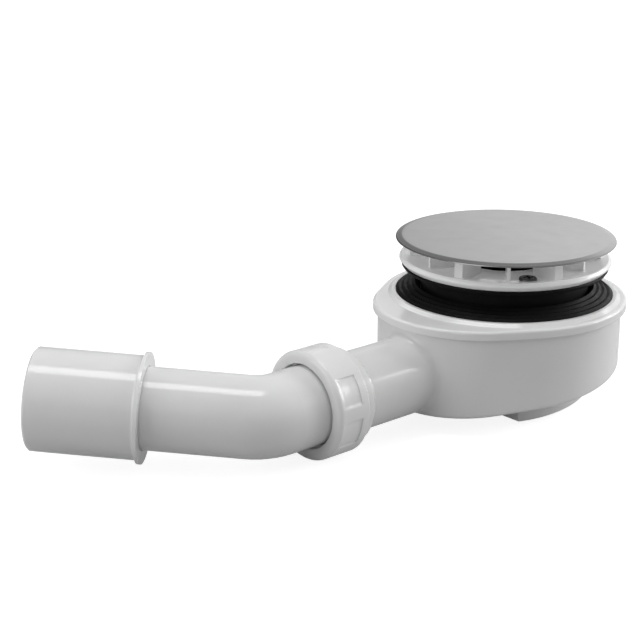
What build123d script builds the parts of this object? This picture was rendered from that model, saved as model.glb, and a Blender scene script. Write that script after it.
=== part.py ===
from build123d import *
import math
import os

# Shower trap for a 90 mm tray hole, with a side outlet and a DN40/50 connection.
# Millimetres, +Z up. The origin lies on the waste axis, on the top face of the tray
# that the trap is clamped to. The outlet leaves along -X.

# Tray hole and clamping
TRAY_HOLE_R = 45.0
CLAMP_ROOM = 8.2
NECK_PLAY = 0.8

# Chromed cover
COVER_OVERHANG = 1.75
COVER_THICK = 2.4
COVER_SKIN = 0.8
COVER_EDGE_RUN = 4.0
COVER_EDGE_FALL = 1.2
COVER_CROWN_ROUND = 12.0
COVER_RIM_ROUND = 0.9
COVER_LIP = 3.4
COVER_TOP_Z = 17.8

# White carrier that holds the cover up on wings and ribs
CARRIER_PLATE = 1.6
WING_COUNT = 6
WING_THICK = 4.6
WING_INSET = 6.0
WING_RUN = 19.6
RIB_THICK = 1.8
RIB_INSET = 10.2
CARRIER_TURN = 45.0

# Waste flange
FLANGE_COVERS = 8.6
FLANGE_FLARE = 2.4
FLANGE_HEIGHT = 4.6
FLANGE_RIM_RUN = 15.0
FLANGE_FLOOR = 1.7
FLANGE_WIDEST = 2.7
FLANGE_EDGE_ROUND = 0.9
FLANGE_CREST_IN = 1.5
FLANGE_DISH_ROUND = 30.0
INLET_ROOM = 6.4
INLET_WALL = 2.2
INLET_LENGTH = 24.0

# Flange screws
SCREW_COUNT = 3
SCREW_TURN = -120.0
SCREW_R = 1.8
SCREW_LENGTH = 15.0
SCREW_HEAD_R = 4.6
SCREW_HEAD_H = 1.5
SCREW_HEAD_ROUND = 0.9
SCREW_SLOT_W = 1.2
SCREW_SLOT_L = 5.6
SCREW_SLOT_D = 0.8
SCREW_BOSS_R = 3.6

# Rubber seals above and below the tray
UPPER_SEAL_H = 2.3
UPPER_SEAL_SHOWS = 0.8
UPPER_SEAL_EDGE = 0.7
SLEEVE_WALL = 1.0
LOWER_SEAL_FACE = 9.8
LOWER_SEAL_INNER_RUN = 2.8
LOWER_SEAL_INNER_H = 1.5
LOWER_SEAL_EDGE_H = 2.4
LOWER_SEAL_CREST_H = 6.0
SEAL_RIBS = 4
SEAL_RIB_DEPTH = 0.8

# Trap body, a round pot drawn out towards the outlet, and the lid welded on it
NOSE_TAPER = 11.4
NOSE_OFFSET = 22.0
RIM_HEIGHT = 4.8
RIM_OVERHANG = 2.5
RIM_MARGIN = 3.3
RIM_ROUND = 1.3
SKIRT_ROUND = 0.6
BODY_WALL = 2.4
DECK_WALL = 3.0
NECK_WALL = 2.0
SEAL_LIP_WALL = 1.8
SEAL_LIP_SLOPE = 2.0
SEAL_LIP_H = 1.6
BASE_DEPTH = 40.4
BASE_SLOPE = 6.8
BASE_ROUND = 2.0
SUMP_INSET = 17.0
SUMP_DEPTH = 12.0
SUMP_GAP = 0.7
SUMP_ROUND = 1.0
WEIR_INSET = 15.0
WEIR_WALL = 2.2
WEIR_DEPTH = 15.6

# Outlet spigot and its threaded end
OUTLET_DEPTH = 29.7
PIPE_R = 20.0
PIPE_WALL = 2.4
SPIGOT_ROOT_INSET = 17.0
SPIGOT_BLEND = 4.0
SPIGOT_RUN = 35.3
FLARE_LENGTH = 4.7
STOP_RISE = 4.2
STOP_WIDTH = 4.2
THREAD_RISE = 3.3
THREAD_LENGTH = 12.8
SOCKET_DEPTH = 15.5
SEAT_DEPTH = 3.0
SEAT_WIDTH = 2.2

# Union nut
NUT_LENGTH = 20.0
NUT_WALL = 3.8
NUT_FRONT_WALL = 3.5
NUT_MOUTH_PLAY = 1.2
NUT_REAR_CHAMFER = 1.4
NUT_PANEL_DEPTH = 0.8
NUT_PANEL_BACK = 5.4
NUT_LOBES = 3
NUT_PANEL_STARTS = (-80.0, -125.0)
NUT_PANEL_SWEEP = 33.0
NUT_ROUND = 2.6

# Cone seal and slip washer inside the nut
CONE_RIM = 2.5

# Elbow
ELBOW_ANGLE = 45.0
ELBOW_TURN = 5.15
ELBOW_STRAIGHT = 14.8
ELBOW_THROAT = 1.0
ELBOW_WALL = 1.9
ELBOW_END_PLAY = 1.0

# DN40/50 adapter and its lip seal
ADAPTER_START = 56.7
ADAPTER_LENGTH = 53.9
ADAPTER_GROOVE_WALL = 2.1
ADAPTER_WALL = 2.2
COLLAR_RISE = 1.8
COLLAR_WIDTH = 1.6
COLLAR_BLEND = 1.5
ADAPTER_SOCKET = 39.0
ADAPTER_STEP = 4.0
ADAPTER_CHAMFER = 1.0
LIP_GROOVE_START = 5.0
LIP_GROOVE_WIDTH = 5.0
LIP_GROOVE_DEPTH = 2.6

# Lift-out dip tube and its ring seal
INSERT_LEDGE = 2.2
INSERT_RIM_H = 1.6
INSERT_WALL = 2.6
INSERT_MOUTH = 0.8
DIP_GAP = 8.0
RING_DEPTH = 16.0
RING_SECTION_R = 0.9

# Clearances
FIT = 0.3
LOOSE = 0.4
SKIM = 0.05

# Radii that follow from the tray hole, from the neck outwards
NECK_R = TRAY_HOLE_R - NECK_PLAY - SLEEVE_WALL - FIT
SLEEVE_IN_R = NECK_R + FIT
SLEEVE_OUT_R = SLEEVE_IN_R + SLEEVE_WALL
LOWER_SEAL_IN_R = SLEEVE_OUT_R + FIT
LOWER_SEAL_CREST_R = LOWER_SEAL_IN_R + LOWER_SEAL_INNER_RUN
LOWER_SEAL_R = LOWER_SEAL_CREST_R + LOWER_SEAL_FACE
LIP_IN_R = LOWER_SEAL_R + LOOSE
LIP_OUT_R = LIP_IN_R + SEAL_LIP_WALL
POT_R = LIP_OUT_R + SEAL_LIP_SLOPE + RIM_MARGIN
NOSE_R = POT_R - NOSE_TAPER
SUMP_R = POT_R - SUMP_INSET
FLANGE_FOOT_R = TRAY_HOLE_R + FLANGE_COVERS
FLANGE_R = FLANGE_FOOT_R + FLANGE_FLARE
UPPER_SEAL_R = FLANGE_FOOT_R + UPPER_SEAL_SHOWS
COVER_R = FLANGE_R + COVER_OVERHANG
WING_OUT_R = FLANGE_R - WING_INSET
WING_IN_R = WING_OUT_R - WING_RUN
RIB_OUT_R = FLANGE_R - RIB_INSET

# Radii from the neck inwards
SCREW_PITCH_R = NECK_R - SCREW_BOSS_R
LEDGE_R = SCREW_PITCH_R - SCREW_BOSS_R - INLET_ROOM
INSERT_RIM_R = LEDGE_R - INLET_WALL - LOOSE
INLET_R = INSERT_RIM_R - INSERT_LEDGE
SUMP_END = INLET_R + SUMP_GAP + BODY_WALL

# Levels
FLANGE_Z = UPPER_SEAL_H
DISH_Z = FLANGE_Z + FLANGE_FLOOR
DECK_Z = -CLAMP_ROOM - LOWER_SEAL_CREST_H
DECK_UNDER_Z = DECK_Z - DECK_WALL
RIM_BOTTOM_Z = DECK_Z - RIM_HEIGHT
OUTLET_Z = DECK_Z - OUTLET_DEPTH
BASE_Z = DECK_Z - BASE_DEPTH
SUMP_FLOOR_Z = BASE_Z - SUMP_DEPTH + BODY_WALL
CARRIER_TOP_Z = COVER_TOP_Z - COVER_SKIN
CARRIER_UNDER_Z = CARRIER_TOP_Z - CARRIER_PLATE

# Stations along the outlet, from the waste axis
NOSE_TIP = NOSE_OFFSET + NOSE_R
SPIGOT_ROOT = NOSE_TIP - SPIGOT_ROOT_INSET
FLARE_START = NOSE_TIP + SPIGOT_RUN
STOP_START = FLARE_START + FLARE_LENGTH
STOP_END = STOP_START + STOP_WIDTH
SPIGOT_END = STOP_END + THREAD_LENGTH
NUT_REAR = STOP_END + FIT
NUT_FRONT = NUT_REAR + NUT_LENGTH
ELBOW_BEND_R = PIPE_R + ELBOW_THROAT
ELBOW_TANGENT = ELBOW_BEND_R * math.tan(math.radians(ELBOW_ANGLE / 2))
ELBOW_CORNER = NUT_FRONT + ELBOW_STRAIGHT + ELBOW_TANGENT
ELBOW_REACH = ADAPTER_START + ADAPTER_SOCKET - ELBOW_END_PLAY

# Radii about the outlet and the pipe
STOP_R = PIPE_R + STOP_RISE
THREAD_R = PIPE_R + THREAD_RISE
SOCKET_R = PIPE_R + FIT
NUT_R = THREAD_R + FIT + NUT_WALL
NUT_MOUTH_R = PIPE_R + NUT_MOUTH_PLAY
LIP_GROOVE_R = SOCKET_R + LIP_GROOVE_DEPTH
ADAPTER_R = LIP_GROOVE_R + ADAPTER_GROOVE_WALL
COLLAR_R = ADAPTER_R + COLLAR_RISE
SLOPE = math.tan(math.radians(BASE_SLOPE))
FAR = 400.0


def turned(points):
    """Solid turned about Z from a closed outline of (radius, height) points."""
    outline = Polyline(*[(r, 0, z) for r, z in points], close=True)
    return revolve(make_face(outline), Axis.Z)


def tube(outer, inner, low, high):
    """Plain ring about Z between two heights."""
    return turned([(inner, low), (outer, low), (outer, high), (inner, high)])


def on_outlet(shape):
    """Carry a piece built along +Z onto the outlet axis, which runs along -X."""
    return Pos(0, 0, OUTLET_Z) * Rot(0, -90, 0) * shape


def on_pipe(shape):
    """Carry a piece built along +Z onto the pipe beyond the elbow's corner."""
    turned_up = Rot(0, 0, 90 - ELBOW_TURN) * Pos(0, 0, ELBOW_CORNER) * Rot(0, ELBOW_ANGLE, 0)
    return on_outlet(turned_up * shape)


def around(shape, count, start):
    """Copies of a piece spaced evenly about Z."""
    return [Rot(0, 0, start + 360.0 * i / count) * shape for i in range(count)]


def egg(inset):
    """Plan outline of the body, set in from the rim by an even distance."""
    pot = POT_R - inset
    nose = NOSE_R - inset
    swing = math.acos((POT_R - NOSE_R) / NOSE_OFFSET)
    c, s = math.cos(swing), math.sin(swing)
    pot_up, pot_down = (-pot * c, pot * s), (-pot * c, -pot * s)
    tip = -NOSE_OFFSET
    nose_up, nose_down = (tip - nose * c, nose * s), (tip - nose * c, -nose * s)
    edges = [
        ThreePointArc(pot_down, (pot, 0), pot_up),
        Line(pot_up, nose_up),
        ThreePointArc(nose_up, (tip - nose, 0), nose_down),
        Line(nose_down, pot_down),
    ]
    return make_face(edges)


def prism(face, low, high):
    """A plan outline drawn up between two heights."""
    return Pos(0, 0, low) * extrude(face, high - low)


def side_block(points):
    """A block across the whole width from an outline in the X-Z plane."""
    outline = Polyline(*[(x, 0, z) for x, z in points], close=True)
    return extrude(make_face(outline), FAR / 2, both=True)


def slope_z(x, drop):
    """Height of the sloping base at a place along X, lowered by a drop."""
    return BASE_Z - drop + SLOPE * x


def pot_room(inset, top):
    """The pot down to its sloping base, or its inside."""
    room = prism(egg(RIM_OVERHANG + inset), top - FAR, top)
    return room & side_block([
        (-FAR, slope_z(-FAR, -inset)),
        (FAR, slope_z(FAR, -inset)),
        (FAR, top),
        (-FAR, top),
    ])


def sump_room(inset):
    """The round sump that hangs under the base, or its inside."""
    bottom = SUMP_DEPTH - inset
    end = -SUMP_END + inset
    room = Pos(0, 0, BASE_Z) * Cylinder(SUMP_R - inset, FAR)
    return room & side_block([
        (end, slope_z(end, bottom)),
        (FAR / 2, slope_z(FAR / 2, bottom)),
        (FAR / 2, slope_z(FAR / 2, -BODY_WALL)),
        (end, slope_z(end, -BODY_WALL)),
    ])


def make_cover():
    """Shallow chromed disc whose edge falls off in a soft roll, open underneath."""
    low = COVER_TOP_Z - COVER_THICK
    crown_r = COVER_R - COVER_EDGE_RUN
    disc = turned([
        (0, low), (COVER_R, low), (COVER_R, COVER_TOP_Z - COVER_EDGE_FALL), (crown_r, COVER_TOP_Z),
        (0, COVER_TOP_Z),
    ])
    rings = disc.edges().filter_by(GeomType.CIRCLE)
    disc = fillet([e for e in rings if abs(e.radius - crown_r) < SKIM], COVER_CROWN_ROUND)
    rim = disc.edges().filter_by(GeomType.CIRCLE).group_by(SortBy.RADIUS)[-1].sort_by(Axis.Z)
    disc = fillet(rim[-1], COVER_RIM_ROUND)
    pocket = tube(COVER_R - COVER_LIP, 0, low, CARRIER_TOP_Z)
    return disc - pocket


def make_carrier(flange):
    """Plate under the cover, with wings and ribs that stand on the flange's dish."""
    plate = tube(COVER_R - COVER_LIP - FIT, 0, CARRIER_UNDER_Z, CARRIER_TOP_Z)
    height = CARRIER_UNDER_Z - DISH_Z
    level = DISH_Z + height / 2
    wing_mid = (WING_IN_R + WING_OUT_R) / 2
    rib_mid = (WING_IN_R + RIB_OUT_R) / 2
    wing = Pos(wing_mid, 0, level) * Box(WING_OUT_R - WING_IN_R, WING_THICK, height)
    rib = Pos(rib_mid, 0, level) * Box(RIB_OUT_R - WING_IN_R, RIB_THICK, height)
    half = 180.0 / WING_COUNT
    legs = around(wing, WING_COUNT, CARRIER_TURN + half) + around(rib, WING_COUNT, CARRIER_TURN)
    carrier = plate
    for leg in legs:
        carrier = carrier + leg
    return carrier - flange


def make_flange():
    """White dish with a rolled rim, screw holes and a sleeve that guides the dip tube."""
    under = FLANGE_Z
    crest = under + FLANGE_HEIGHT
    low_r = FLANGE_R - FLANGE_RIM_RUN
    step_r = INSERT_RIM_R + LOOSE
    dish = turned([
        (step_r, under), (FLANGE_FOOT_R, under), (FLANGE_R, under + FLANGE_WIDEST),
        (FLANGE_R - FLANGE_CREST_IN, crest), (low_r, DISH_Z), (step_r, DISH_Z),
    ])
    rings = dish.edges().filter_by(GeomType.CIRCLE)
    dish = fillet([e for e in rings if abs(e.radius - low_r) < SKIM], FLANGE_DISH_ROUND)
    rings = dish.edges().filter_by(GeomType.CIRCLE)
    dish = fillet([e for e in rings if e.radius > FLANGE_FOOT_R + SKIM], FLANGE_EDGE_ROUND)
    sleeve = tube(INLET_R + INLET_WALL, INLET_R, under - INLET_LENGTH, under)
    ledge = tube(LEDGE_R, INLET_R, under - INLET_WALL, under)
    dish = dish + sleeve + ledge
    hole = Pos(SCREW_PITCH_R, 0, 0) * tube(SCREW_R + LOOSE, 0, under, DISH_Z)
    spot_face = Pos(SCREW_PITCH_R, 0, 0) * tube(SCREW_HEAD_R + LOOSE, 0, DISH_Z, crest)
    for cut in around(hole + spot_face, SCREW_COUNT, SCREW_TURN):
        dish = dish - cut
    return dish


def make_screws():
    """Pan-head screws with a cross recess that pull the flange down on the neck."""
    top = DISH_Z + SCREW_HEAD_H
    head = tube(SCREW_HEAD_R, 0, DISH_Z, top)
    head = fillet(head.edges().group_by(Axis.Z)[-1], SCREW_HEAD_ROUND)
    shank = tube(SCREW_R, 0, DISH_Z - SCREW_LENGTH, DISH_Z)
    slot = Pos(0, 0, top) * Box(SCREW_SLOT_L, SCREW_SLOT_W, 2 * SCREW_SLOT_D)
    screw = head + shank - slot - Rot(0, 0, 90) * slot
    placed = Pos(SCREW_PITCH_R, 0, 0) * screw
    return Compound(children=around(placed, SCREW_COUNT, SCREW_TURN))


def make_upper_seal():
    """Flat rubber ring under the flange, with a sleeve that lines the tray hole."""
    return turned([
        (SLEEVE_IN_R, DECK_Z + FIT), (SLEEVE_OUT_R, DECK_Z + FIT), (SLEEVE_OUT_R, 0),
        (FLANGE_FOOT_R - FIT, 0), (UPPER_SEAL_R, UPPER_SEAL_H - UPPER_SEAL_EDGE),
        (UPPER_SEAL_R - FIT, UPPER_SEAL_H), (SLEEVE_IN_R, UPPER_SEAL_H),
    ])


def make_lower_seal():
    """Conical rubber ring whose upper face carries concentric ribs."""
    pitch = LOWER_SEAL_FACE / (SEAL_RIBS - 0.5)
    rise = (LOWER_SEAL_CREST_H - LOWER_SEAL_EDGE_H) / LOWER_SEAL_FACE
    points = [(LOWER_SEAL_IN_R, DECK_Z), (LOWER_SEAL_R, DECK_Z)]
    for i in range(2 * SEAL_RIBS):
        r = LOWER_SEAL_R - i * pitch / 2
        dip = SEAL_RIB_DEPTH if i % 2 == 0 else 0.0
        points.append((r, DECK_Z + LOWER_SEAL_EDGE_H + rise * (LOWER_SEAL_R - r) - dip))
    points.append((LOWER_SEAL_IN_R, DECK_Z + LOWER_SEAL_INNER_H))
    return turned(points)


def make_lid():
    """Moulded top of the body: deck and skirt, the lip round the seal, the neck and screw bosses."""
    deck = prism(egg(0), RIM_BOTTOM_Z, DECK_Z)
    deck = fillet(deck.edges().group_by(Axis.Z)[-1], RIM_ROUND)
    deck = fillet(deck.edges().group_by(Axis.Z)[0], SKIRT_ROUND)
    pocket = prism(egg(RIM_OVERHANG - SKIM), RIM_BOTTOM_Z, DECK_UNDER_Z)
    lip_z = DECK_Z + SEAL_LIP_H
    lip = turned([
        (LIP_IN_R, DECK_Z), (LIP_OUT_R + SEAL_LIP_SLOPE, DECK_Z), (LIP_OUT_R, lip_z), (LIP_IN_R, lip_z),
    ])
    throat = tube(NECK_R - NECK_WALL, 0, DECK_UNDER_Z, DECK_Z)
    neck = tube(NECK_R, NECK_R - NECK_WALL, DECK_UNDER_Z, FLANGE_Z)
    lid = deck + lip - pocket - throat + neck
    boss = Pos(SCREW_PITCH_R, 0, 0) * tube(SCREW_BOSS_R, 0, DECK_UNDER_Z, FLANGE_Z)
    pilot = Pos(SCREW_PITCH_R, 0, 0) * tube(SCREW_R + SKIM, 0, DECK_UNDER_Z, FLANGE_Z)
    for place in around(boss, SCREW_COUNT, SCREW_TURN):
        lid = lid + place
    for place in around(pilot, SCREW_COUNT, SCREW_TURN):
        lid = lid - place
    return lid


def make_body():
    """Moulded pot, open at the top, with its sloping base, sump, weir and threaded outlet."""
    wall = pot_room(0, DECK_UNDER_Z)
    wall = fillet(wall.faces().sort_by(Axis.Z)[0].edges(), BASE_ROUND)
    sump = sump_room(0)
    sump = fillet(sump.faces().sort_by(Axis.Z)[0].edges(), SUMP_ROUND)
    spigot = on_outlet(turned([
        (0, SPIGOT_ROOT), (PIPE_R, SPIGOT_ROOT), (PIPE_R, FLARE_START), (STOP_R, STOP_START),
        (STOP_R, STOP_END), (THREAD_R, STOP_END), (THREAD_R, SPIGOT_END), (0, SPIGOT_END),
    ]))
    pot = wall + spigot
    root = pot.edges().filter_by(GeomType.BSPLINE)
    pot = fillet(root, SPIGOT_BLEND)
    bore_r = PIPE_R - PIPE_WALL
    bore_start = SPIGOT_ROOT + BODY_WALL
    bore = on_outlet(turned([
        (0, bore_start), (bore_r, bore_start), (bore_r, SPIGOT_END - SOCKET_DEPTH),
        (SOCKET_R, SPIGOT_END - SOCKET_DEPTH), (SOCKET_R, SPIGOT_END - SEAT_DEPTH),
        (SOCKET_R + SEAT_WIDTH, SPIGOT_END), (0, SPIGOT_END),
    ]))
    body = pot + sump - pot_room(BODY_WALL, DECK_Z) - sump_room(BODY_WALL) - bore
    weir_place = NOSE_TIP - WEIR_INSET + WEIR_WALL / 2
    weir = Pos(-weir_place, 0, 0) * Box(WEIR_WALL, FAR, FAR)
    return body + (weir & pot_room(BODY_WALL / 2, DECK_Z - WEIR_DEPTH))


def make_nut():
    """Union nut with a rounded front, wide grip lobes and narrow ribs between shallow panels."""
    thread = THREAD_R + FIT
    nut = turned([
        (thread, NUT_REAR), (NUT_R - NUT_REAR_CHAMFER, NUT_REAR), (NUT_R, NUT_REAR + NUT_REAR_CHAMFER),
        (NUT_R, NUT_FRONT), (NUT_MOUTH_R, NUT_FRONT), (NUT_MOUTH_R, NUT_FRONT - NUT_FRONT_WALL),
        (thread, NUT_FRONT - NUT_FRONT_WALL),
    ])
    front = nut.edges().filter_by(GeomType.CIRCLE).group_by(Axis.Z)[-1].sort_by(SortBy.RADIUS)
    nut = fillet(front[-1], NUT_ROUND)
    panel_r = NUT_R - NUT_PANEL_DEPTH
    panel_back = NUT_REAR + NUT_PANEL_BACK
    profile = make_face(Polyline(
        (panel_r, 0, panel_back), (NUT_R + LOOSE, 0, panel_back),
        (NUT_R + LOOSE, 0, NUT_FRONT), (panel_r, 0, NUT_FRONT), close=True,
    ))
    panel = revolve(profile, Axis.Z, NUT_PANEL_SWEEP)
    for start in NUT_PANEL_STARTS:
        for cut in around(panel, NUT_LOBES, start):
            nut = nut - cut
    return on_outlet(nut)


def make_cone_seal():
    """Rubber cone that the nut presses between the spigot's seat and the elbow."""
    back = SPIGOT_END - SEAT_DEPTH + LOOSE
    return on_outlet(turned([
        (PIPE_R + SKIM, back), (SOCKET_R + SEAT_WIDTH - FIT, SPIGOT_END), (THREAD_R - SKIM, SPIGOT_END),
        (THREAD_R - SKIM, SPIGOT_END + CONE_RIM), (PIPE_R + SKIM, SPIGOT_END + CONE_RIM),
    ]))


def make_washer():
    """Slip washer that lets the nut turn without dragging the cone seal."""
    start = SPIGOT_END + CONE_RIM
    return on_outlet(tube(THREAD_R - SKIM, PIPE_R + FIT, start, NUT_FRONT - NUT_FRONT_WALL))


def make_elbow():
    """Moulded 40 mm bend from the spigot's socket to the adapter."""
    start = SPIGOT_END - SOCKET_DEPTH + ELBOW_END_PLAY
    bend_start = ELBOW_CORNER - ELBOW_TANGENT
    lean = math.radians(ELBOW_ANGLE)
    ring = Circle(PIPE_R) - Circle(PIPE_R - ELBOW_WALL)
    straight = Pos(0, 0, start) * extrude(ring, bend_start - start)
    pivot = Axis((ELBOW_BEND_R, 0, bend_start), (0, 1, 0))
    bend = revolve(Pos(0, 0, bend_start) * ring, pivot, ELBOW_ANGLE)
    leave = Pos(ELBOW_TANGENT * math.sin(lean), 0, ELBOW_CORNER + ELBOW_TANGENT * math.cos(lean))
    leg = leave * Rot(0, ELBOW_ANGLE, 0) * extrude(ring, ELBOW_REACH - ELBOW_TANGENT)
    return on_outlet(Rot(0, 0, 90 - ELBOW_TURN) * (straight + bend + leg))


def make_adapter():
    """Reducer from the 40 mm pipe to a 50 mm spigot, with a collar round its socket."""
    end = ADAPTER_START + ADAPTER_LENGTH
    floor = ADAPTER_START + ADAPTER_SOCKET
    groove = ADAPTER_START + LIP_GROOVE_START
    adapter = turned([
        (SOCKET_R, ADAPTER_START), (COLLAR_R, ADAPTER_START), (COLLAR_R, ADAPTER_START + COLLAR_WIDTH),
        (ADAPTER_R, ADAPTER_START + COLLAR_WIDTH), (ADAPTER_R, end - ADAPTER_CHAMFER),
        (ADAPTER_R - ADAPTER_CHAMFER, end), (ADAPTER_R - ADAPTER_WALL, end),
        (ADAPTER_R - ADAPTER_WALL, floor + ADAPTER_STEP), (PIPE_R - ELBOW_WALL, floor),
        (SOCKET_R, floor), (SOCKET_R, groove + LIP_GROOVE_WIDTH), (LIP_GROOVE_R, groove + LIP_GROOVE_WIDTH),
        (LIP_GROOVE_R, groove), (SOCKET_R, groove),
    ])
    back = [e for e in adapter.edges().filter_by(GeomType.CIRCLE) if abs(e.radius - ADAPTER_R) < SKIM]
    adapter = fillet(ShapeList(back).sort_by(Axis.Z)[0], COLLAR_BLEND)
    return on_pipe(adapter)


def make_lip_seal():
    """Rubber lip ring that seals the pipe in the adapter's socket."""
    low = ADAPTER_START + LIP_GROOVE_START
    return on_pipe(tube(LIP_GROOVE_R, PIPE_R + SKIM, low, low + LIP_GROOVE_WIDTH))


def make_insert():
    """Lift-out dip tube hung by its rim in the flange, with a groove for its ring seal."""
    seat = FLANGE_Z
    top = seat + INSERT_RIM_H
    shank_r = INLET_R - FIT
    bore_r = shank_r - INSERT_WALL
    groove_r = INLET_R - 2 * RING_SECTION_R
    groove_low = seat - RING_DEPTH - RING_SECTION_R
    groove_high = seat - RING_DEPTH + RING_SECTION_R
    low = SUMP_FLOOR_Z + DIP_GAP
    return turned([
        (bore_r, low), (shank_r, low), (shank_r, groove_low), (groove_r, groove_low), (groove_r, groove_high),
        (shank_r, groove_high), (shank_r, seat), (INSERT_RIM_R, seat), (INSERT_RIM_R, top),
        (bore_r + INSERT_MOUTH, top), (bore_r, top - INSERT_MOUTH),
    ])


def make_ring_seal():
    """Ring seal between the dip tube and the flange's sleeve."""
    ring = Torus(INLET_R - RING_SECTION_R, RING_SECTION_R)
    return Pos(0, 0, FLANGE_Z - RING_DEPTH) * ring


flange = make_flange()
parts = {
    "cover": make_cover(),
    "cover_carrier": make_carrier(flange),
    "waste_flange": flange,
    "flange_screws": make_screws(),
    "upper_seal": make_upper_seal(),
    "lower_seal": make_lower_seal(),
    "dip_tube": make_insert(),
    "dip_tube_ring": make_ring_seal(),
    "trap_body": make_body(),
    "trap_lid": make_lid(),
    "union_nut": make_nut(),
    "cone_seal": make_cone_seal(),
    "slip_washer": make_washer(),
    "elbow": make_elbow(),
    "adapter": make_adapter(),
    "adapter_seal": make_lip_seal(),
}

os.makedirs("parts", exist_ok=True)
for name, shape in parts.items():
    export_step(shape, f"parts/{name}.step")
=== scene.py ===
# %% [markdown]
# # A low shower trap
#
# The object is a shower trap: a flat white pot that hangs under a shower tray, a chromed cover
# that hides the inlet, two black rubber seals that grip the tray, and a bent outlet pipe with
# an adapter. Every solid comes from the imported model, so this lesson starts by loading it. The
# pieces arrive in metres, in their places, and stay there. What is left to do is to give each
# one its finish, to remake the two whose edges ask for more, and to light and look at the whole
# as a catalogue photographer would.

# %% Load the solids
import bpy
import math
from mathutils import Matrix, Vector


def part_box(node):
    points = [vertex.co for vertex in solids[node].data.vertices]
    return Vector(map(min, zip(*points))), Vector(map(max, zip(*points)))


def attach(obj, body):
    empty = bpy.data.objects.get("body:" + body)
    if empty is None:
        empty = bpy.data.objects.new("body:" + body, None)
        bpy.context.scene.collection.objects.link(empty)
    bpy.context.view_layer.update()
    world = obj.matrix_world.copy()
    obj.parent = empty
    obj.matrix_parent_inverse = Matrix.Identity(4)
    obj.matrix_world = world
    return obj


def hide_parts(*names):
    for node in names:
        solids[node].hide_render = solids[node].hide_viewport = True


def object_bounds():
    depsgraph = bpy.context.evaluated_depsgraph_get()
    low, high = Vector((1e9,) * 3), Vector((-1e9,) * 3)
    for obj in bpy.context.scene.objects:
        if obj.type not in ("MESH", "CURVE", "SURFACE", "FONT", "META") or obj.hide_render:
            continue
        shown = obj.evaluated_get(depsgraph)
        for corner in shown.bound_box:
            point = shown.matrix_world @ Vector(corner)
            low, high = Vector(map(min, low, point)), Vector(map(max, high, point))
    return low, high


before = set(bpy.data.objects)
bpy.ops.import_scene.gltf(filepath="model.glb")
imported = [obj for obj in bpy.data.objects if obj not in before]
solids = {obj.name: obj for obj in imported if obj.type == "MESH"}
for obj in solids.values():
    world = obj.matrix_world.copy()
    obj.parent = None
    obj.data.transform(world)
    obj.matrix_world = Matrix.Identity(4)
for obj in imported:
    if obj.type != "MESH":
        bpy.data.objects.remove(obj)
cad_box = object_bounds()
print("solids:", ", ".join(sorted(solids)))
print("box in metres:", [[round(value, 4) for value in corner] for corner in cad_box])

# %% [markdown]
# ## Building blocks for the finishes
#
# A finish is a small graph of nodes that ends in one Principled shader. No real surface is the
# same all over, and one could paint the differences by hand. A noise texture in object space is
# simpler, because it has no seams and needs no unwrapping. A few helpers are enough: the noise
# itself, a spread of it between two values, a blend of it between two tones, and a relief that
# tilts the surface by it. A noise keeps mostly to its middle range, so that range is stretched.

# %% Node helpers
NOISE_LOW = 0.3
NOISE_HIGH = 0.7


def link(tree, output, target):
    tree.links.new(output, target)


def new_finish(name):
    finish = bpy.data.materials.new(name)
    finish.use_nodes = True
    tree = finish.node_tree
    return finish, tree, tree.nodes["Principled BSDF"]


def noise(tree, scale, detail):
    node = tree.nodes.new("ShaderNodeTexNoise")
    place = tree.nodes.new("ShaderNodeTexCoord")
    node.inputs["Scale"].default_value = scale
    node.inputs["Detail"].default_value = detail
    link(tree, place.outputs["Object"], node.inputs["Vector"])
    return node.outputs["Fac"]


def spread(tree, value, low, high):
    node = tree.nodes.new("ShaderNodeMapRange")
    node.inputs["From Min"].default_value = NOISE_LOW
    node.inputs["From Max"].default_value = NOISE_HIGH
    node.inputs["To Min"].default_value = low
    node.inputs["To Max"].default_value = high
    link(tree, value, node.inputs["Value"])
    return node.outputs["Result"]


def two_tone(tree, value, dark, light):
    node = tree.nodes.new("ShaderNodeValToRGB")
    first, last = node.color_ramp.elements
    first.position = NOISE_LOW
    first.color = (*dark, 1)
    last.position = NOISE_HIGH
    last.color = (*light, 1)
    link(tree, value, node.inputs["Fac"])
    return node.outputs["Color"]


def relief(tree, shader, value, strength, distance):
    node = tree.nodes.new("ShaderNodeBump")
    node.inputs["Strength"].default_value = strength
    node.inputs["Distance"].default_value = distance
    link(tree, value, node.inputs["Height"])
    link(tree, node.outputs["Normal"], shader.inputs["Normal"])


print("node helpers ready, noise stretched from", NOISE_LOW, "to", NOISE_HIGH)

# %% [markdown]
# ## White moulded plastic
#
# The pot, the pipe and their fittings are injection-moulded plastic. Such a surface is glossy,
# but never a mirror: the steel mould leaves a faint waviness, and the gloss is a little uneven.
# One noise drives the waviness, one the gloss, and a third, the coarsest, shifts the white by a
# shade too small to name. Light also goes a few millimetres into such plastic before it turns
# back, which the subsurface sockets give. There are three whites: the flange is paler than the
# pot, and the pipes are a little smoother than both.

# %% White plastic
GLOW_DEPTH = 0.003


def grey(level):
    return (level, level, level)


def white_plastic(name, dark, light, roughness, glow):
    finish, tree, shader = new_finish(name)
    shader.inputs["IOR"].default_value = 1.5
    shader.inputs["Subsurface Weight"].default_value = glow
    shader.inputs["Subsurface Radius"].default_value = (1.0, 1.0, 1.0)
    shader.inputs["Subsurface Scale"].default_value = GLOW_DEPTH
    shade = two_tone(tree, noise(tree, scale=18, detail=3), dark, light)
    gloss = spread(tree, noise(tree, scale=60, detail=4), *roughness)
    link(tree, shade, shader.inputs["Base Color"])
    link(tree, gloss, shader.inputs["Roughness"])
    relief(tree, shader, noise(tree, scale=140, detail=2), strength=0.05, distance=0.0004)
    return finish


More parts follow.
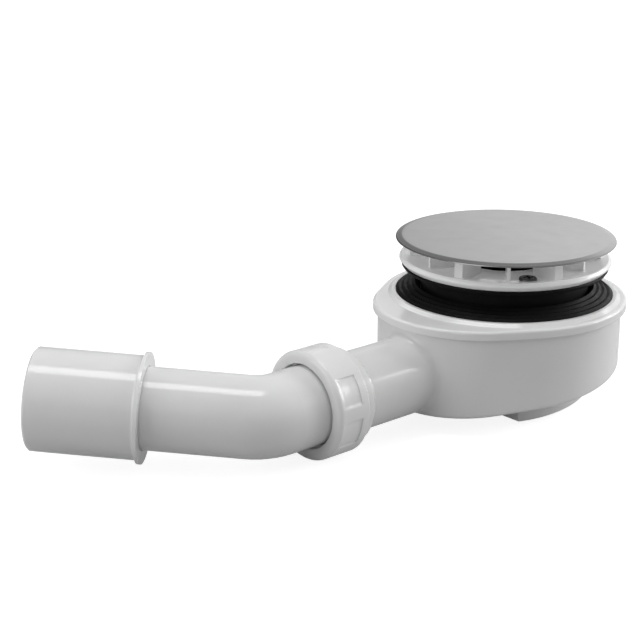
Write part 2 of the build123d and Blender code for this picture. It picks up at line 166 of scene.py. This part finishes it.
pot_white = white_plastic(
    "pot_white", dark=grey(0.78), light=grey(0.82), roughness=(0.13, 0.18), glow=0.4)
pipe_white = white_plastic(
    "pipe_white", dark=(0.78, 0.78, 0.785), light=(0.82, 0.82, 0.825),
    roughness=(0.11, 0.16), glow=0.4)
flange_white = white_plastic(
    "flange_white", dark=grey(0.92), light=grey(0.95), roughness=(0.14, 0.20), glow=0.1)
print("whites:", pot_white.name, pipe_white.name, flange_white.name)

# %% [markdown]
# ## Dip tube
#
# The tube that hangs in the pot shows only its pale rim, round a mouth that looks black because
# it lies deep in shade. One could split it in two pieces with a finish each. It is one moulding,
# so one finish serves: the white of the rim gives way below it to a painted shade, a dark grey
# that stands for the shade inside the tube, and the height in the object's own frame says where.
# The Mix node has a set of sockets for each kind of value, all with the same names, so those for
# colours are told by their numbers.

# %% Dip tube
RIM_FOOT = 0.0012
RIM_TOP = 0.0030
# painted shade: this near-black stands for the shade inside the tube's mouth, not a colour of the
# plastic
PAINTED_TUBE_SHADE = (*grey(0.012), 1)
MIX_SHARE = 0
MIX_FIRST_COLOUR = 6
MIX_SECOND_COLOUR = 7
MIX_RESULT_COLOUR = 2


def height_share(tree, foot, top):
    """0 below foot, 1 above top, and a straight rise between them."""
    place = tree.nodes.new("ShaderNodeTexCoord")
    split = tree.nodes.new("ShaderNodeSeparateXYZ")
    share = tree.nodes.new("ShaderNodeMapRange")
    share.inputs["From Min"].default_value = foot
    share.inputs["From Max"].default_value = top
    link(tree, place.outputs["Object"], split.inputs["Vector"])
    link(tree, split.outputs["Z"], share.inputs["Value"])
    return share.outputs["Result"]


def tube_plastic_painted_shade():
    finish = white_plastic(
        "tube_plastic_painted_shade", dark=grey(0.92), light=grey(0.95), roughness=(0.20, 0.28), glow=0)
    tree = finish.node_tree
    shader = tree.nodes["Principled BSDF"]
    rim_white = shader.inputs["Base Color"].links[0].from_socket
    # the mix paints shade on the tube below its rim, by height
    mix = tree.nodes.new("ShaderNodeMix")
    mix.data_type = "RGBA"
    mix.inputs[MIX_FIRST_COLOUR].default_value = PAINTED_TUBE_SHADE
    link(tree, rim_white, mix.inputs[MIX_SECOND_COLOUR])
    link(tree, height_share(tree, RIM_FOOT, RIM_TOP), mix.inputs[MIX_SHARE])
    link(tree, mix.outputs[MIX_RESULT_COLOUR], shader.inputs["Base Color"])
    return finish


tube_white_painted_shade = tube_plastic_painted_shade()
print("tube:", tube_white_painted_shade.name, "turns dark below", RIM_FOOT)

# %% [markdown]
# ## Chromed cover
#
# The cover is plated metal with a satin polish. Plating takes its tone from what it mirrors, so
# the shader is fully metallic with a grey of its own, and the roughness softens the picture of
# the room in it. A perfect plane would look drawn, not pressed. So one noise makes the polish a
# little uneven, a slow one moves the grey by a shade, and a third gives the sheet a waviness
# that only its reflections show.

# %% Chrome
def chrome_plate():
    finish, tree, shader = new_finish("satin_chrome")
    shader.inputs["Metallic"].default_value = 1.0
    slow = noise(tree, scale=12, detail=2)
    shade = two_tone(tree, slow, dark=(0.325, 0.328, 0.325), light=(0.350, 0.353, 0.350))
    polish = spread(tree, noise(tree, scale=90, detail=5), low=0.22, high=0.26)
    link(tree, shade, shader.inputs["Base Color"])
    link(tree, polish, shader.inputs["Roughness"])
    relief(tree, shader, noise(tree, scale=60, detail=2), strength=0.02, distance=0.0003)
    return finish


satin_chrome = chrome_plate()
print("metal:", satin_chrome.name)

# %% [markdown]
# ## Rubber and steel
#
# The seals are moulded rubber: nearly black, with a dull sheen and a fine grain from the mould.
# The screws are steel that has gone dull and dark, with a scratchy grain. Both are the same few
# nodes as the plastic with other numbers.

# %% Rubber and steel
def seal_rubber():
    finish, tree, shader = new_finish("seal_rubber")
    shader.inputs["IOR"].default_value = 1.5
    shader.inputs["Specular IOR Level"].default_value = 0.10
    shade = two_tone(tree, noise(tree, scale=40, detail=3), dark=grey(0.004), light=grey(0.007))
    sheen = spread(tree, noise(tree, scale=220, detail=4), low=0.45, high=0.60)
    link(tree, shade, shader.inputs["Base Color"])
    link(tree, sheen, shader.inputs["Roughness"])
    relief(tree, shader, noise(tree, scale=900, detail=3), strength=0.10, distance=0.0002)
    return finish


def screw_steel():
    finish, tree, shader = new_finish("screw_steel")
    shader.inputs["Metallic"].default_value = 1.0
    fine = noise(tree, scale=300, detail=3)
    shade = two_tone(tree, fine, dark=(0.09, 0.09, 0.093), light=(0.15, 0.15, 0.154))
    polish = spread(tree, noise(tree, scale=700, detail=4), low=0.28, high=0.42)
    link(tree, shade, shader.inputs["Base Color"])
    link(tree, polish, shader.inputs["Roughness"])
    relief(tree, shader, noise(tree, scale=1200, detail=3), strength=0.10, distance=0.0001)
    return finish


black_rubber = seal_rubber()
plain_steel = screw_steel()
print("others:", black_rubber.name, plain_steel.name)

# %% [markdown]
# ## Who wears what
#
# One could paint face by face. Each piece is of one material, so each solid simply gets one
# finish in its material slot. The flange and the carrier share the palest white, the pot and the
# nut a second one, and the outlet pipes a third, because they leave different moulds.

# %% Hand out the finishes
WEAR = {
    flange_white: ("cover_carrier", "waste_flange"),
    # the dip tube's finish carries painted shade below its rim
    tube_white_painted_shade: ("dip_tube",),
    pot_white: ("trap_body", "trap_lid", "union_nut"),
    pipe_white: ("elbow", "adapter", "slip_washer"),
    satin_chrome: ("cover",),
    black_rubber: ("upper_seal", "lower_seal", "dip_tube_ring", "cone_seal", "adapter_seal"),
    plain_steel: ("flange_screws",),
}


def dress(name, finish):
    solid = solids[name]
    for slot in solid.material_slots:
        slot.material = finish
    return len(solid.data.polygons)


for finish, names in WEAR.items():
    for name in names:
        faces = dress(name, finish)
        print(finish.name, "on", name, "with", faces, "faces")

# %% [markdown]
# ## Edge of the cover
#
# The cover is pressed from thin sheet: its crown is flat almost to the edge, then falls away in
# a narrow slope and turns down over a small round. Small as it is, the slope matters: it mirrors
# a darker part of the room than the crown does, and so draws the edge of the disc. One could
# bend the edge with a bevel modifier. A mesh turned from a section gives the slope and the round
# exactly. The section is a few points and two formulas, carried round the waste axis. The last
# lines say which body the mesh rides on, which solid it replaces and which slot its finish fills.

# %% Turned sheet
COVER_STEPS = 192
SHARP_FROM = math.radians(40)


def add_piece(name, points, faces):
    mesh = bpy.data.meshes.new(name)
    mesh.from_pydata(points, [], faces)
    mesh.shade_smooth()
    mesh.set_sharp_from_angle(angle=SHARP_FROM)
    piece = bpy.data.objects.new(name, mesh)
    bpy.context.collection.objects.link(piece)
    print(name, "has", len(faces), "faces")
    return piece


def turned_sheet(name, section):
    """A closed mesh of revolution about Z from (radius, height) points, ends on the axis."""
    rings = section[1:-1]
    count = len(rings)
    points = [(0, 0, section[0][1])]
    for step in range(COVER_STEPS):
        turn = 2 * math.pi * step / COVER_STEPS
        points += [(r * math.cos(turn), r * math.sin(turn), z) for r, z in rings]
    points.append((0, 0, section[-1][1]))
    faces = []
    for step in range(COVER_STEPS):
        here = 1 + step * count
        there = 1 + (step + 1) % COVER_STEPS * count
        faces.append((0, here, there))
        faces += [(here + i, here + i + 1, there + i + 1, there + i) for i in range(count - 1)]
        faces.append((here + count - 1, len(points) - 1, there + count - 1))
    return add_piece(name, points, faces)


print("a turned sheet has", COVER_STEPS, "steps round")

# %% Section of the cover
CROWN_DROP = 0.0005
CROWN_RINGS = (0.3, 0.6, 0.85, 0.97)
SLOPE_RUN = 0.0027
SLOPE_FALL = 0.00065
SLOPE_STEPS = 14
SHOULDER = 0.12
EDGE_ROUND = 0.0008
EDGE_STEPS = 6
SHEET = 0.00028
RIM_WALL = 0.0005
CARRIER_PLAY = 0.00015


def slope(start, top, run, fall):
    """Points that leave the crown by a soft shoulder and then fall in a straight slope."""
    points = []
    for step in range(SLOPE_STEPS + 1):
        share = step / SLOPE_STEPS
        dip = (math.hypot(share, SHOULDER) - SHOULDER) / (math.hypot(1, SHOULDER) - SHOULDER)
        points.append((start + run * share, top - fall * dip))
    return points


def quarter_round(edge, crest, size):
    """A quarter circle that turns from the slope down to the upright edge."""
    turns = [math.pi / 2 * step / EDGE_STEPS for step in range(1, EDGE_STEPS + 1)]
    return [(edge - size + size * math.sin(t), crest - size + size * math.cos(t)) for t in turns]


def cover_section(edge, top, pocket):
    """From the crown's middle over the edge and back under, round the carrier's plate."""
    crown_edge = edge - EDGE_ROUND - SLOPE_RUN
    crest = top - SLOPE_FALL
    foot = crest - EDGE_ROUND
    under = top - SHEET
    section = [(0, top)]
    section += [(crown_edge * share, top) for share in CROWN_RINGS]
    section += slope(crown_edge, top, SLOPE_RUN, SLOPE_FALL)
    section += quarter_round(edge, crest, EDGE_ROUND)
    section += [(edge - RIM_WALL, foot), (pocket, foot), (pocket, under), (0, under)]
    return section


cover_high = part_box("cover")[1]
carrier_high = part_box("cover_carrier")[1]
cover_outline = cover_section(
    edge=cover_high[0], top=cover_high[2] - CROWN_DROP, pocket=carrier_high[0] + CARRIER_PLAY)
print("section of the cover has", len(cover_outline), "points")

# %% Cover
rolled_cover = turned_sheet("rolled_cover", cover_outline)
rolled_cover.data.materials.append(satin_chrome)
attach(rolled_cover, "root")
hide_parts("cover")

# %% [markdown]
# ## Grip of the union nut
#
# The nut is gripped by hand: shallow panels are sunk into its side, deepest at the rear, where
# their edge draws a line, and they run out softly before the rounded front. Such a form is hard
# to cut with solids and easy to write down: the nut is a turned section whose radius is lowered
# by a small depth, and the depth depends on the place along the axis and round it. The panels
# come in pairs, three times round. Each has one crisp side and one that fades.

# %% Panels
CRISP_EDGE = 0.8
SOFT_EDGE = 4.0
PANEL_PAIR = ((17.0, CRISP_EDGE, SOFT_EDGE), (62.0, SOFT_EDGE, CRISP_EDGE))
PANEL_SWEEP = 33.0
PAIR_TURN = 120.0
PANEL_DEPTH = 0.0006
PANEL_BACK = 0.0054
PANEL_FRONT = 0.0175
REAR_LINE = 0.0004
FADE_FROM = 0.004
FADE_LOSS = 0.5
RUN_OUT = 0.0015


def ease(value, start, end):
    """0 before start, 1 after end, and a smooth rise between them."""
    share = min(1.0, max(0.0, (value - start) / (end - start)))
    return share * share * (3 - 2 * share)


def panel_depth(station, turn):
    """How far the panels lower the nut's side, at a place from its rear and an angle round it."""
    across = 0.0
    for start, low_edge, high_edge in PANEL_PAIR:
        place = (turn - start) % PAIR_TURN
        rise = ease(place, 0, low_edge)
        fall = ease(place, PANEL_SWEEP - high_edge, PANEL_SWEEP)
        across = max(across, rise * (1 - fall))
    rear = ease(station, PANEL_BACK, PANEL_BACK + REAR_LINE)
    fade = 1 - FADE_LOSS * ease(station, PANEL_BACK + FADE_FROM, PANEL_FRONT)
    front = 1 - ease(station, PANEL_FRONT - RUN_OUT, PANEL_FRONT)
    return PANEL_DEPTH * across * rear * fade * front


print("panels are", PANEL_DEPTH, "deep and", round(PANEL_FRONT - PANEL_BACK, 4), "long")

# %% Section of the nut
REAR_CHAMFER = 0.0014
REAR_BAND = 0.0035
REAR_LINE_STEPS = 4
SIDE_FROM = 0.001
SIDE_STEPS = 16
FRONT_ROUND = 0.0026
FRONT_STEPS = 8
FRONT_WALL = 0.0035
THREAD_BORE = 0.0236
MOUTH_BORE = 0.0212
MOUTH_ROUND = 0.0008
MOUTH_MIDDLE = (0.0003, 0.0002)


def nut_side(length, radius):
    """Outer side as (station, radius) points, from the rear face to the mouth."""
    side = [(0, radius - REAR_CHAMFER), (REAR_CHAMFER, radius), (REAR_BAND, radius)]
    for step in range(REAR_LINE_STEPS + 1):
        side.append((PANEL_BACK + REAR_LINE * step / REAR_LINE_STEPS, radius))
    start = PANEL_BACK + SIDE_FROM
    end = length - FRONT_ROUND
    side += [(start + (end - start) * step / SIDE_STEPS, radius) for step in range(SIDE_STEPS)]
    for step in range(FRONT_STEPS + 1):
        turn = math.pi / 2 * step / FRONT_STEPS
        drop = FRONT_ROUND * (1 - math.cos(turn))
        side.append((end + FRONT_ROUND * math.sin(turn), radius - drop))
    side.append((length, MOUTH_BORE + MOUTH_ROUND))
    side.append((length - MOUTH_MIDDLE[0], MOUTH_BORE + MOUTH_MIDDLE[1]))
    return side


def nut_bore(length):
    """Inside as (station, radius) points, from the mouth back to the rear face."""
    shoulder = length - FRONT_WALL
    mouth = [(length - MOUTH_ROUND, MOUTH_BORE), (shoulder, MOUTH_BORE)]
    return mouth + [(shoulder, THREAD_BORE), (0, THREAD_BORE)]


low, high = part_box("union_nut")
side = nut_side(length=high[0] - low[0], radius=(high[1] - low[1]) / 2)
bore = nut_bore(length=high[0] - low[0])
print("section of the nut has", len(side), "points outside and", len(bore), "inside")

# %% Nut
NUT_STEPS = 360


def grip_nut(name, side, bore, rear, axis_z):
    """The section carried round the outlet's axis, with the panels sunk into its side."""
    count = len(side) + len(bore)
    points = []
    for step in range(NUT_STEPS):
        turn = 360.0 * step / NUT_STEPS
        across = math.cos(math.radians(turn))
        up = math.sin(math.radians(turn))
        rows = [(station, r - panel_depth(station, turn)) for station, r in side] + bore
        points += [(rear - station, r * across, axis_z + r * up) for station, r in rows]
    faces = []
    for step in range(NUT_STEPS):
        here = step * count
        there = (step + 1) % NUT_STEPS * count
        for i in range(count):
            j = (i + 1) % count
            faces.append((here + i, here + j, there + j, there + i))
    return add_piece(name, points, faces)


soft_nut = grip_nut("grip_nut", side, bore, rear=high[0], axis_z=(low[2] + high[2]) / 2)
soft_nut.data.materials.append(pot_white)
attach(soft_nut, "root")
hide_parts("union_nut")

# %% [markdown]
# ## Camera
#
# The view is that of a long lens a little above the object. Its place was worked out from the
# ellipses of the cover, the nut and the pipe's collar, so the numbers are written as found. The
# camera comes before the light, because the light is placed as seen by the viewer.

# %% Camera
CAMERA_PLACE = (-0.5761, -0.5196, 0.2236)
CAMERA_PITCH = math.radians(18.24)
VIEW_AZIMUTH = math.radians(49.28)
VIEW_AHEAD = (math.cos(VIEW_AZIMUTH), math.sin(VIEW_AZIMUTH), 0)
VIEW_RIGHT = (math.sin(VIEW_AZIMUTH), -math.cos(VIEW_AZIMUTH), 0)
LENS_MM = 85
SENSOR_MM = 36

lens = bpy.data.cameras.new("camera")
lens.lens = LENS_MM
lens.sensor_width = SENSOR_MM
camera = bpy.data.objects.new("camera", lens)
camera.location = CAMERA_PLACE
camera.rotation_euler = (math.pi / 2 - CAMERA_PITCH, 0, VIEW_AZIMUTH - math.pi / 2)
bpy.context.collection.objects.link(camera)
bpy.context.scene.camera = camera
bpy.context.scene.view_settings.view_transform = "Standard"
print("camera at", CAMERA_PLACE)

# %% [markdown]
# ## Floor
#
# The floor is a plain pale sheet at the level where the trap stands. One could make it white by
# lighting it hard, but that light would also fall on the trap. Instead the Light Path node adds
# a glow to what the camera sees of it, and a little of that glow to what glossy faces mirror. So
# the floor stays white to the edge of the picture and still takes the soft shadow.

# %% Floor
FLOOR_HALF = 6.0
SQUARE = ((-1, -1), (1, -1), (1, 1), (-1, 1))
FLOOR_SHADE = 0.42
FLOOR_GLOW = 0.86
FLOOR_MIRRORED = 0.25


def reckon(tree, operation, *terms):
    """A math node whose terms are sockets or plain numbers."""
    node = tree.nodes.new("ShaderNodeMath")
    node.operation = operation
    for socket, term in zip(node.inputs, terms):
        if isinstance(term, (int, float)):
            socket.default_value = term
        else:
            link(tree, term, socket)
    return node.outputs[0]


def white_floor():
    finish, tree, shader = new_finish("white_floor")
    shader.inputs["Base Color"].default_value = (*grey(FLOOR_SHADE), 1)
    shader.inputs["Roughness"].default_value = 0.9
    shader.inputs["Specular IOR Level"].default_value = 0.0
    shader.inputs["Emission Color"].default_value = (1, 1, 1, 1)
    ray = tree.nodes.new("ShaderNodeLightPath")
    mirrored = reckon(tree, "MULTIPLY", ray.outputs["Is Glossy Ray"], FLOOR_MIRRORED)
    glow = reckon(tree, "MULTIPLY_ADD", ray.outputs["Is Camera Ray"], FLOOR_GLOW, mirrored)
    link(tree, glow, shader.inputs["Emission Strength"])
    return finish


floor_z = cad_box[0][2]
corners = [(FLOOR_HALF * x, FLOOR_HALF * y, floor_z) for x, y in SQUARE]
floor_mesh = bpy.data.meshes.new("floor")
floor_mesh.from_pydata(corners, [], [(0, 1, 2, 3)])
floor = bpy.data.objects.new("floor", floor_mesh)
floor.data.materials.append(white_floor())
bpy.context.collection.objects.link(floor)
print("floor at", round(floor_z, 4))

# %% [markdown]
# ## Dome
#
# Chrome and gloss show the room, so the room needs a shape. A photograph of a studio could be
# wrapped round the scene. Four soft ramps do as well and need no picture: the dome is dim on
# the viewer's side and overhead, and bright low down behind at the right, which is what the flat
# cover mirrors. The camera itself sees plain white.

# %% Dome
SIDE_BLEND = 0.2
BEHIND_FROM = -0.75
BEHIND_FULL = 0.35
SWEEP_ENDS = 0.42
CEILING_FROM = 0.62
CEILING_SHARE = 0.15
HORIZON = 0.05
SKY = 0.5


def ramp(tree, value, start, end, low, high):
    node = tree.nodes.new("ShaderNodeMapRange")
    node.interpolation_type = "SMOOTHSTEP"
    node.inputs["From Min"].default_value = start
    node.inputs["From Max"].default_value = end
    node.inputs["To Min"].default_value = low
    node.inputs["To Max"].default_value = high
    link(tree, value, node.inputs["Value"])
    return node.outputs["Result"]


def along(tree, place, direction):
    node = tree.nodes.new("ShaderNodeVectorMath")
    node.operation = "DOT_PRODUCT"
    node.inputs[1].default_value = direction
    link(tree, place, node.inputs[0])
    return node.outputs["Value"]


def room_light(tree, near, far_left, far_right, top):
    """Brightness of the room for each direction that a ray leaves in."""
    place = tree.nodes.new("ShaderNodeTexCoord").outputs["Generated"]
    rise = along(tree, place, (0, 0, 1))
    across = along(tree, place, VIEW_RIGHT)
    depth = along(tree, place, VIEW_AHEAD)
    side = ramp(tree, across, -SIDE_BLEND, SIDE_BLEND, far_left - near, far_right - near)
    behind = reckon(tree, "MULTIPLY", ramp(tree, depth, BEHIND_FROM, BEHIND_FULL, 0, 1), side)
    sweep = ramp(tree, rise, SWEEP_ENDS, CEILING_FROM, 1, CEILING_SHARE)
    height = ramp(tree, rise, HORIZON, SKY, near, near + top)
    return reckon(tree, "ADD", reckon(tree, "MULTIPLY", behind, sweep), height)


def studio_dome(**levels):
    world = bpy.data.worlds.new("studio_dome")
    bpy.context.scene.world = world
    world.use_nodes = True
    tree = world.node_tree
    room = tree.nodes["Background"]
    backdrop = tree.nodes.new("ShaderNodeBackground")
    for background in (room, backdrop):
        background.inputs["Color"].default_value = (1, 1, 1, 1)
    link(tree, room_light(tree, **levels), room.inputs["Strength"])
    ray = tree.nodes.new("ShaderNodeLightPath")
    mix = tree.nodes.new("ShaderNodeMixShader")
    link(tree, ray.outputs["Is Camera Ray"], mix.inputs["Fac"])
    link(tree, room.outputs["Background"], mix.inputs[1])
    link(tree, backdrop.outputs["Background"], mix.inputs[2])
    link(tree, mix.outputs["Shader"], tree.nodes["World Output"].inputs["Surface"])
    return world


dome = studio_dome(near=0.20, far_left=0.10, far_right=1.08, top=0.18)
print("room:", dome.name)

# %% [markdown]
# ## Soft boxes
#
# Three soft boxes hang above, at the left and at the right. The one above draws the long
# highlight on the pipes and ends where that highlight ends, so it hangs a little to the left.
# The one at the right lights the pot's edge. Each is placed by the two angles at which it is
# seen from the trap, which is easier to judge in a picture than coordinates are.

# %% Soft boxes
BOX_REACH = 1.6


def soft_box(name, azimuth, elevation, size, brightness, aside=0.0):
    """A rectangular lamp; azimuth 0 is the viewer's side, turning to the right."""
    turn = VIEW_AZIMUTH + math.pi + math.radians(azimuth)
    rise = math.radians(elevation)
    lamp = bpy.data.lights.new(name, "AREA")
    lamp.shape = "RECTANGLE"
    lamp.size, lamp.size_y = size
    lamp.energy = brightness * math.pi * size[0] * size[1]
    box = bpy.data.objects.new(name, lamp)
    flat = BOX_REACH * math.cos(rise)
    box.location = (flat * math.cos(turn) + aside * VIEW_RIGHT[0],
                    flat * math.sin(turn) + aside * VIEW_RIGHT[1],
                    BOX_REACH * math.sin(rise))
    box.rotation_euler = (math.pi / 2 - rise, 0, turn + math.pi / 2)
    box.visible_camera = False
    bpy.context.collection.objects.link(box)
    print(name, "gives", round(lamp.energy, 2), "W")
    return box


boxes = [
    soft_box("box_above", azimuth=0, elevation=86, size=(1.05, 0.5), brightness=5.2, aside=-0.29),
    soft_box("box_left", azimuth=-62, elevation=20, size=(1.2, 0.7), brightness=2.4),
    soft_box("box_right", azimuth=106, elevation=18, size=(1.2, 0.7), brightness=5.2),
]

# %% [markdown]
# ## Flags
#
# A flat mirror shows each soft box as a white patch from some side, and the disc would be lost
# on the white floor. A photographer holds a black flag between the lamp and the metal. Light
# linking does the same: the boxes are kept off the cover, and one weak lamp reaches the cover
# alone and puts a glint on the round of its edge.

# %% Flags
def gather(name, pieces):
    group = bpy.data.collections.new(name)
    for piece in pieces:
        group.objects.link(piece)
    return group


flagged = gather("flagged_off", [rolled_cover])
flagged.collection_objects[0].light_linking.link_state = "EXCLUDE"
for box in boxes:
    box.light_linking.receiver_collection = flagged

edge_light = soft_box("edge_light", azimuth=-43, elevation=25, size=(1.0, 1.5), brightness=1.2)
edge_light.light_linking.receiver_collection = gather("edge_light_reaches", [rolled_cover])
print(rolled_cover.name, "is lit by the dome and by", edge_light.name)

# %% [markdown]
# ## Fill under the cover
#
# The dish under the cover would sink into shade. A photographer slips small white cards into
# such a gap, which are too slight to model. Here two soft boxes do it: light linking lets them
# reach the white flange, the carrier and, on the left, the pot's lid, and shadow linking lets
# them pass the cover.

# %% Fill
WHITE_RING = ("waste_flange", "cover_carrier")
CARDS = {"card_left": (-125, WHITE_RING + ("trap_lid",)), "card_right": (125, WHITE_RING)}

for name, (azimuth, reached) in CARDS.items():
    card = soft_box(name, azimuth, elevation=38, size=(0.8, 0.8), brightness=1.5)
    receivers = [solids[node] for node in reached]
    blockers = [solids["waste_flange"]]
    card.light_linking.receiver_collection = gather(name + "_reaches", receivers)
    card.light_linking.blocker_collection = gather(name + "_shaded_by", blockers)
    print(name, "reaches", ", ".join(reached))
